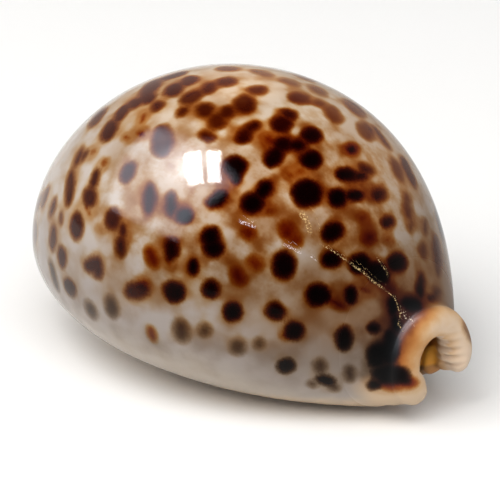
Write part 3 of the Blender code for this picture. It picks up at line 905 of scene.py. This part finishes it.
def paint_marks(mesh, points, inside):
    """Store on the mesh how far every vertex is from the edges of the marks, in mm."""
    canvas = Canvas(mesh, points, inside)
    dark, amber, sunken = (np.full(len(points), FAR_FROM_MARKS) for _ in range(3))
    halo = np.zeros(len(points))
    groups = (
        (dark, CROWN_MARKS + BACK_MARKS + FLANK_MARKS + VEILED_MARKS + NOTCH_PATCH, 0.0),
        (amber, AMBER_MARKS, 0.0),
        (amber, FAINT_MARKS, FAINT_STEP),
        (sunken, SUNKEN_MARKS, 0.0),
    )
    for field, marks, step in groups:
        for mark in marks:
            lay_mark(field, halo, *canvas.seen_mark(*mark), step)
    random = np.random.default_rng(HIDDEN_MARK_SEED)
    for number in hidden_places(canvas, random):
        long = random.uniform(HIDDEN_MARK_LEAST, HIDDEN_MARK_MOST)
        wide = long * random.uniform(HIDDEN_MARK_SLIMMEST, 1.0)
        turn = random.uniform(0.0, math.pi)
        field = amber if random.random() < HIDDEN_AMBER_SHARE else dark
        spot, normal = points[number], canvas.normals[number]
        lay_mark(field, halo, *canvas.hidden_mark(spot, normal, long, wide, turn))
    offset, strength, white = painted_glint_fields(canvas)
    fields = {
        "dark_mark": dark / MM,
        "amber_mark": amber / MM,
        "sunken_mark": sunken / MM,
        "halo": halo,
        "glint_offset": offset,
        "glint_strength": strength,
        "glint_white": white,
        "inside": inside,
    }
    for name, values in fields.items():
        attribute = mesh.attributes.new(name, "FLOAT", "POINT")
        attribute.data.foreach_set("value", values.astype(np.float32))


STEP_SOCKETS = ("Value", "From Min", "From Max", "To Min", "To Max")


def overload(operation, reflected=False):
    """A method for an operator of the class below, or for its reflected form."""

    def operate(self, other):
        values = (other, self) if reflected else (self, other)
        return self.paint.math(operation, *values)

    return operate


class Wire:
    """A socket of a material, on which arithmetic adds the Math nodes it needs."""

    def __init__(self, paint, socket):
        self.paint = paint
        self.socket = socket

    def output(self, name):
        """Another output of the same node."""
        return Wire(self.paint, self.socket.node.outputs[name])

    def __abs__(self):
        return self.paint.math("ABSOLUTE", self)

    __add__ = overload("ADD")
    __radd__ = overload("ADD", reflected=True)
    __sub__ = overload("SUBTRACT")
    __rsub__ = overload("SUBTRACT", reflected=True)
    __mul__ = overload("MULTIPLY")
    __rmul__ = overload("MULTIPLY", reflected=True)


class Paint:
    """The node tree of a material or a light, to which nodes are added one at a time."""

    def __init__(self, owner):
        owner.use_nodes = True
        self.tree = owner.node_tree
        self.places = {}

    def node(self, kind, settings=None, sockets=None, output=0):
        """Add a node: its settings first, then the values or links of its sockets."""
        node = self.tree.nodes.new(kind)
        for name, value in (settings or {}).items():
            setattr(node, name, value)
        for name, value in (sockets or {}).items():
            socket = node.inputs[name]
            if isinstance(value, Wire):
                self.tree.links.new(value.socket, socket)
            else:
                socket.default_value = value
        return Wire(self, node.outputs[output]) if len(node.outputs) else None

    def math(self, operation, *values):
        """Arithmetic on numbers."""
        return self.node("ShaderNodeMath", {"operation": operation}, dict(enumerate(values)))

    def field(self, name):
        """A number that the mesh carries at its vertices."""
        settings = {"attribute_name": name, "attribute_type": "GEOMETRY"}
        return self.node("ShaderNodeAttribute", settings, output="Fac")

    def step(self, value, start, stop, low=0.0, high=1.0):
        """Go smoothly from low to high while a value goes from start to stop."""
        settings = {"interpolation_type": "SMOOTHSTEP"}
        sockets = dict(zip(STEP_SOCKETS, (value, start, stop, low, high)))
        return self.node("ShaderNodeMapRange", settings, sockets)

    def zone(self, name):
        """How strong a layer of the glaze is at a place: the product of its fades."""
        fades = [self.step(self.places[by], *limits) for by, *limits in ZONES[name]]
        return reduce(mul, fades)

    def noise(self, name, place=None):
        """One of the noises, which swings about 0 by up to half its share either way."""
        scale, detail, roughness, share = NOISES[name]
        sockets = {"Scale": scale, "Detail": detail, "Roughness": roughness}
        sockets["Vector"] = place or self.places["in_mm"]
        return (self.node("ShaderNodeTexNoise", {}, sockets) - 0.5) * share

    def mix(self, factor, under, over):
        """One colour over another, by a factor."""
        sockets = {0: factor, 6: under, 7: over}
        return self.node("ShaderNodeMix", {"data_type": "RGBA"}, sockets, output=2)

    def vector(self, operation, *values):
        """Arithmetic on vectors, or on colours as red, green and blue."""
        return self.node("ShaderNodeVectorMath", {"operation": operation}, dict(enumerate(values)))

    def absorb(self, colour, pigment, density):
        """A colour under a pigment, given by what it lets through where its density is 1."""
        return self.vector("MULTIPLY", colour, self.vector("POWER", pigment, density))


def find_places(paint):
    """Give a paint what its zones go by: places in metres, noises and wandering borders."""
    place = paint.node("ShaderNodeTexCoord", output="Object")
    along = paint.node("ShaderNodeSeparateXYZ", {}, {0: place})
    places = paint.places
    places["in_mm"] = paint.vector("MULTIPLY", place, (1.0 / MM, 1.0 / MM, 1.0 / MM))
    places["along"] = along
    places["across"] = along.output("Y")
    places["height"] = along.output("Z")
    places["cloud"] = paint.noise("cloud")
    places["mottle"] = paint.noise("mottle")
    places["ragged"] = paint.noise("ragged") + paint.noise("grain")
    for name, by, noise, reach in BORDERS:
        places[name] = places[by] + places[noise] * reach
    places["margin"] = places["margin"] + paint.zone("margin_narrows")
    places["siphon_tip"] = places["tip"] + paint.zone("rim_spreads")
    places["from_canal"] = abs(places["across"] - CANAL_MIDDLE)
    return places


def shell_ground(paint, look):
    """Ground colour: cream over the back, greyer down the flank, pale margin and rims, and a pale band
    of painted sheen along the top of the crown.
    """
    rim = paint.mix(paint.zone("foot"), look.rim_ground, look.sole)
    layers = (
        ("cream", look.cream_ground),
        ("spire", look.spire_ground),
        ("crown", look.crown_ground),
        ("ridge", look.rim_ground),
        ("margin", look.margin_ground),
        ("siphon_rim", rim),
        ("spire_rim", look.rim_ground),
        ("sole", paint.mix(paint.zone("sole_at_notch"), look.sole, rim)),
    )
    ground = look.flank_ground
    for name, colour in layers:
        ground = paint.mix(paint.zone(name), ground, colour)
    return ground


def golden_clouds(paint, places):
    """Cloudy bands over the crown and the back, from 0 to 1."""
    stretched = paint.vector("MULTIPLY", places["in_mm"], STREAK_STRETCH)
    clouds = places["mottle"] + places["cloud"] * CLOUD_IN_GOLDEN
    clouds = clouds + paint.noise("streaks", stretched)
    return paint.step(clouds, *GOLDEN_RANGE) * paint.zone("golden")


def amber_density(paint, places, golden):
    """Thickness of the amber pigment: clouds, halos round marks, russet marks, rims, and a painted warm
    glow in the siphon canal.
    """
    halo = paint.field("halo") + paint.noise("patches")
    halo = paint.step(halo, *HALO_RANGE) * paint.zone("halo")
    edge = paint.field("amber_mark") + places["ragged"]
    russet = paint.step(edge, *AMBER_EDGE, 0.0, AMBER_DEPTH)
    rims = paint.zone("rim_amber") + paint.zone("canal_amber")
    return golden * GOLDEN_AMBER + halo + russet + rims


def dark_density(paint, places, golden):
    """Thickness of the dark pigment: dark marks, smoky clouds and the notch's brown."""
    far = paint.zone("far_side")
    least = DARK_LEAST * (paint.zone("thinner_over") + FAR_LEAST * far)
    more = DARK_MORE * paint.zone("deep_dark") * (paint.zone("near_side") + FAR_MORE * far)
    # The marks thin along the top of the crown as painted sheen
    depth = least * paint.zone("thinner_ridge") + more
    edge = paint.field("dark_mark") + places["ragged"] - paint.zone("wider_marks")
    clouds = paint.noise("smoke") + places["mottle"] * MOTTLE_IN_SMOKE
    smoke = paint.step(clouds, *SMOKE_RANGE) * paint.zone("smoke")
    smoke = smoke + paint.zone("notch_smoke") + golden * paint.zone("golden_smoke")
    smoke = smoke * paint.zone("smoke_bounds")
    return paint.step(edge, *DARK_EDGE) * depth + smoke + paint.zone("notch_brown")


def painted_glints(paint, places):
    """How strongly the painted glints, thin highlights painted into the colour, show."""
    offset = abs(paint.field("glint_offset") + places["ragged"] * GLINT_RAGGED)
    painted_glint = paint.step(offset, *GLINT_LINE_RANGE) * paint.field("glint_strength")
    return painted_glint * paint.step(paint.noise("glints"), *GLINT_RANGE)


def shell_glaze(look):
    """Glossy glaze over dark and amber pigments that lie on a cream to grey ground."""
    material = bpy.data.materials.new("glazed_shell")
    paint = Paint(material)
    shader = paint.tree.nodes["Principled BSDF"]
    places = find_places(paint)
    golden = golden_clouds(paint, places)
    low_pigment = look.low_pigment[:3]
    smoky = paint.mix(paint.zone("low_marks"), look.dark_pigment, look.low_pigment)
    sunken = paint.field("sunken_mark") + places["ragged"]
    sunken = paint.step(sunken, *SUNKEN_EDGE, 0.0, SUNKEN_DEPTH)
    colour = shell_ground(paint, look)
    amber = amber_density(paint, places, golden)
    colour = paint.absorb(colour, look.amber_pigment[:3], amber)
    colour = paint.absorb(colour, smoky, dark_density(paint, places, golden))
    colour = paint.absorb(colour, low_pigment, sunken)
    # Painted glints: thin golden and white highlights painted over the colour, which is also made
    # rougher there
    painted_glint = painted_glints(paint, places)
    bright = paint.mix(paint.field("glint_white"), look.golden_glint, look.white_glint)
    colour = paint.mix(painted_glint * GLINT_COVER, colour, bright)
    # The inside is painted amber deeper in, a painted glow for warm light through the thin wall
    inner = paint.mix(paint.zone("lining"), look.rim_ground, look.lining)
    colour = paint.mix(paint.field("inside"), colour, inner)

    relief = paint.noise("pits") + paint.noise("swell")
    sockets = {"Strength": BUMP_STRENGTH, "Distance": BUMP_HEIGHT, "Height": relief}
    bump = paint.node("ShaderNodeBump", {}, sockets, output="Normal")
    rough = look.gloss_roughness + painted_glint * GLINT_ROUGHNESS + paint.zone("worn")
    for name, value in (("Base Color", colour), ("Roughness", rough), ("Normal", bump)):
        paint.tree.links.new(value.socket, shader.inputs[name])
    shader.inputs["IOR"].default_value = look.glaze_index
    shader.inputs["Metallic"].default_value = 0.0
    return material


def link(name, data):
    """Put new data into the scene as an object."""
    thing = bpy.data.objects.new(name, data)
    bpy.context.scene.collection.objects.link(thing)
    return thing


def colour_setting(name, description, colour):
    """A colour that a user would change."""
    settings = {"size": 4, "min": 0.0, "max": 1.0, "subtype": "COLOR"}
    return bpy.props.FloatVectorProperty(
        name=name, description=description, default=(*colour, 1.0), **settings
    )


def number_setting(name, description, default, **settings):
    """A number that a user would change."""
    return bpy.props.FloatProperty(name=name, description=description, default=default, **settings)


def share_setting(name, description, default):
    """A share from 0 to 1."""
    return number_setting(name, description, default, min=0.0, max=1.0, subtype="FACTOR")


def angle_setting(name, description, degrees):
    """An angle, given in degrees."""
    return number_setting(name, description, math.radians(degrees), subtype="ANGLE")


class ShellForm(bpy.types.PropertyGroup):
    """Sizes of the teeth and of the bead in the siphon notch."""

    teeth: bpy.props.IntProperty(name="Teeth", description="Teeth along each lip", default=23, min=1)
    groove_depth: number_setting(
        "Groove Depth", "Depth of the grooves between the teeth", 0.0008, unit="LENGTH"
    )
    bead_height: number_setting(
        "Bead Height", "Height of the bead inside the siphon notch", 0.0005, unit="LENGTH"
    )
    bead_groove_depth: number_setting(
        "Bead Groove Depth", "Depth of the fine grooves across the bead", 0.0007, unit="LENGTH"
    )


class ShellLook(bpy.types.PropertyGroup):
    """Colours and gloss of the shell."""

    cream_ground: colour_setting(
        "Cream Ground", "Ground over the crown and the back", (0.46, 0.345, 0.255)
    )
    crown_ground: colour_setting("Crown Ground", "Ground along the crown", (0.53, 0.43, 0.34))
    flank_ground: colour_setting("Flank Ground", "Ground of the flank", (0.305, 0.266, 0.243))
    spire_ground: colour_setting("Spire Ground", "Ground toward the spire end", (0.445, 0.39, 0.352))
    margin_ground: colour_setting("Margin Ground", "Pale band along the base", (0.40, 0.34, 0.28))
    rim_ground: colour_setting("Rim Ground", "Rims and lobes of the canals", (0.65, 0.50, 0.37))
    sole: colour_setting("Sole", "Underside, lips and teeth", (0.55, 0.41, 0.28))
    # The lining colour is a painted glow that stands in for warm light through the thin wall
    lining: colour_setting("Lining", "Inside of the shell", (0.80, 0.38, 0.06))
    amber_pigment: colour_setting(
        "Amber Pigment", "What a layer of the amber pigment lets through", (0.46, 0.142, 0.0200)
    )
    dark_pigment: colour_setting(
        "Dark Pigment", "What a layer of the dark pigment lets through", (0.368, 0.187, 0.080)
    )
    low_pigment: colour_setting(
        "Low Pigment", "The same for dark pigment low on the flank", (0.368, 0.290, 0.222)
    )
    # Colours of the painted glints: highlights painted into the colour, not scuffs in the glaze
    golden_glint: colour_setting(
        "Golden Scuff", "Fine golden scuffs along the back", (0.85, 0.60, 0.26)
    )
    white_glint: colour_setting("White Scuff", "Fine white scuffs", (0.95, 0.86, 0.92))
    gloss_roughness: share_setting("Gloss Roughness", "Roughness of the glaze", 0.038)
    glaze_index: number_setting("Glaze Index", "Refractive index of the glaze", 1.32, min=1.0, max=2.0)


class StudioSettings(bpy.types.PropertyGroup):
    """Floor and lights around the shell."""

    floor_size: number_setting("Floor Size", "Side of the square floor", 4.0, unit="LENGTH")
    key_size: number_setting("Key Size", "Side of each of the two soft key lights", 0.85, unit="LENGTH")
    left_key_power: number_setting(
        "Left Key Power", "Power of the soft key light on the left", 6.3, unit="POWER"
    )
    left_key_height: angle_setting("Left Key Height", "Its angle above level", 50.0)
    left_key_side: angle_setting("Left Key Side", "Its side, round from +X", -108.0)
    right_key_power: number_setting(
        "Right Key Power", "Power of the soft key light on the right", 5.2, unit="POWER"
    )
    right_key_height: angle_setting("Right Key Height", "Its angle above level", 57.0)
    right_key_side: angle_setting("Right Key Side", "Its side, round from +X", -35.0)
    ambient: share_setting("Ambient", "Light that comes evenly from all round", 0.42)
    floor_gloss: share_setting(
        "Floor Gloss", "How bright the floor in front looks in the gloss of the shell", 0.15
    )


class SHELL_OT_add_shell(bpy.types.Operator):
    """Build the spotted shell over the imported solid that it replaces"""

    bl_idname = "shell.add_shell"
    bl_label = "Add Shell"

    def execute(self, context):
        mesh, points, inside = shell_mesh(context.scene.shell_form)
        paint_marks(mesh, points, inside)
        piece = link("cowrie_shell", mesh)
        mesh.materials.append(shell_glaze(context.scene.shell_look))
        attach(piece, "root")
        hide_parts("shell")
        return {"FINISHED"}


def add_floor(studio):
    """A plain white floor, just below the sole."""
    half = 0.5 * studio.floor_size
    mesh = bpy.data.meshes.new("floor")
    corners = [(-half, -half, 0.0), (half, -half, 0.0), (half, half, 0.0), (-half, half, 0.0)]
    mesh.from_pydata(corners, [], [(0, 1, 2, 3)])
    material = bpy.data.materials.new("white_floor")
    paint = Paint(material)
    shader = paint.tree.nodes["Principled BSDF"]
    shader.inputs["Roughness"].default_value = FLOOR_ROUGHNESS
    shader.inputs["Specular IOR Level"].default_value = 0.0
    # Painted shade in reflections: in the gloss of the shell the floor is darker toward the front and
    # the siphon side, though to the eye it stays evenly white
    in_gloss = paint.node("ShaderNodeLightPath", output="Is Glossy Ray")
    place = paint.node("ShaderNodeTexCoord", output="Object")
    ahead = paint.vector("DOT_PRODUCT", place, ROOM_FRONT).output("Value")
    beside = paint.vector("DOT_PRODUCT", place, ROOM_SIDE).output("Value")
    shade = paint.step(ahead, *FLOOR_AHEAD, studio.floor_gloss)
    shade = shade * paint.step(beside, *FLOOR_BESIDE) * in_gloss + (1.0 - in_gloss)
    colour = paint.vector("MULTIPLY", (FLOOR_WHITE, FLOOR_WHITE, FLOOR_WHITE), shade)
    paint.tree.links.new(colour.socket, shader.inputs["Base Color"])
    mesh.materials.append(material)
    floor = link("floor", mesh)
    floor.location.z = -FLOOR_GAP


def add_panel(name, toward, distance, size, power, colour, seen_by, soft=0.0):
    """A flat light that faces the shell from a direction, for gloss or for diffuse light."""
    light = bpy.data.lights.new(name, "AREA")
    light.shape = "RECTANGLE"
    light.size, light.size_y = size
    light.energy = power
    light.color = colour
    panel = link(name, light)
    direction = Vector(toward).normalized()
    panel.location = Vector((0.0, 0.0, LIT_HEIGHT)) + direction * distance
    panel.rotation_euler = direction.to_track_quat("Z", "Y").to_euler()
    panel.visible_camera = False
    panel.visible_glossy = "gloss" in seen_by
    panel.visible_diffuse = "diffuse" in seen_by
    if soft:
        paint = Paint(light)
        emission = paint.tree.nodes["Emission"]
        parametric = paint.node("ShaderNodeNewGeometry", output="Parametric")
        across = paint.node("ShaderNodeSeparateXYZ", {}, {0: parametric})
        fades = [paint.step(abs(at - 0.5), 0.5, 0.5 - soft) for at in (across, across.output("Y"))]
        strength = fades[0] * fades[1]
        paint.tree.links.new(strength.socket, emission.inputs["Strength"])
    return panel


def direction_from(height, side):
    """Direction at an angle above level, round from +X by another."""
    level = math.cos(height)
    return Vector((level * math.cos(side), level * math.sin(side), math.sin(height)))


def add_window():
    """The bright window and the pale curtain beside it, which only the glaze shows."""
    toward = direction_from(math.radians(WINDOW_HEIGHT), math.radians(WINDOW_SIDE))
    facing = toward.to_track_quat("Z", "Y")
    window = facing @ Quaternion((0.0, 0.0, 1.0), math.radians(WINDOW_TURN))
    for pane in WINDOW_PANES:
        power = pane.power * pane.width * pane.height
        size = (pane.width, pane.height)
        light = add_panel(
            pane.name, toward, pane.distance, size, power, pane.colour, ("gloss",), pane.soft
        )
        turn = window @ Quaternion((0.0, 0.0, 1.0), math.radians(pane.turn))
        light.rotation_euler = turn.to_euler()
        light.location += window @ Vector((pane.across, pane.up, 0.0))


def add_world(studio):
    """White all round to the eye, and a darker room above for the gloss."""
    world = bpy.data.worlds.new("studio")
    bpy.context.scene.world = world
    paint = Paint(world)
    background = paint.tree.nodes["Background"]
    background.inputs["Strength"].default_value = 1.0
    to_camera = paint.node("ShaderNodeLightPath", output="Is Camera Ray")
    to_gloss = to_camera.output("Is Glossy Ray")
    direction = paint.node("ShaderNodeTexCoord", output="Generated")
    rise = paint.node("ShaderNodeSeparateXYZ", {}, {0: direction}, "Z")
    ahead = paint.vector("DOT_PRODUCT", direction, ROOM_FRONT).output("Value")
    wall = paint.step(rise, *WALL_RISE) * paint.step(ahead, *WALL_AHEAD)
    room = paint.mix(wall, CEILING_COLOUR, WALL_COLOUR)
    even = studio.ambient
    lit = paint.mix(to_gloss, (even, even, even, 1.0), room)
    lit = paint.mix(to_camera, lit, WHITE)
    paint.tree.links.new(lit.socket, background.inputs["Color"])


def add_camera():
    """The camera at the photograph's place."""
    eye, right, up, back = photo_axes()
    camera = bpy.data.cameras.new("photo_camera")
    camera.sensor_width = SENSOR_MM
    camera.lens = PHOTO_LENS_MM
    camera.clip_start = 0.01
    holder = link("photo_camera", camera)
    turn = Matrix((right, up, back)).transposed()
    holder.matrix_world = Matrix.Translation(eye) @ turn.to_4x4()
    bpy.context.scene.camera = holder


class SHELL_OT_add_studio(bpy.types.Operator):
    """Set the floor, the lights and the camera of the photograph"""

    bl_idname = "shell.add_studio"
    bl_label = "Add Studio"

    def execute(self, context):
        studio = context.scene.shell_studio
        add_floor(studio)
        add_world(studio)
        keys = (
            ("left_key", studio.left_key_height, studio.left_key_side, studio.left_key_power),
            ("right_key", studio.right_key_height, studio.right_key_side, studio.right_key_power),
        )
        for name, height, side, power in keys:
            toward = direction_from(height, side)
            size = (studio.key_size, studio.key_size)
            add_panel(name, toward, KEY_DISTANCE, size, power, KEY_COLOUR, ("diffuse",))
        add_window()
        add_camera()
        context.scene.view_settings.view_transform = "Standard"
        return {"FINISHED"}


class SHELL_PT_sidebar(bpy.types.Panel):
    """Lists what the add-on builds"""

    bl_idname = "SHELL_PT_sidebar"
    bl_label = "Cowrie Shell"
    bl_space_type = "VIEW_3D"
    bl_region_type = "UI"
    bl_category = "Shell"

    def draw(self, context):
        layout = self.layout
        for operator in OPERATORS:
            layout.operator(operator.bl_idname)
        scene = context.scene
        for settings in (scene.shell_form, scene.shell_look, scene.shell_studio):
            for name in settings.__annotations__:
                layout.prop(settings, name)


OPERATORS = (SHELL_OT_add_shell, SHELL_OT_add_studio)
CLASSES = (ShellForm, ShellLook, StudioSettings, *OPERATORS, SHELL_PT_sidebar)


def register():
    for cls in CLASSES:
        bpy.utils.register_class(cls)
    bpy.types.Scene.shell_form = bpy.props.PointerProperty(type=ShellForm)
    bpy.types.Scene.shell_look = bpy.props.PointerProperty(type=ShellLook)
    bpy.types.Scene.shell_studio = bpy.props.PointerProperty(type=StudioSettings)


def unregister():
    del bpy.types.Scene.shell_studio
    del bpy.types.Scene.shell_look
    del bpy.types.Scene.shell_form
    for cls in reversed(CLASSES):
        bpy.utils.unregister_class(cls)


def main():
    register()
    bpy.ops.shell.add_shell()
    bpy.ops.shell.add_studio()


if __name__ == "__main__":
    main()
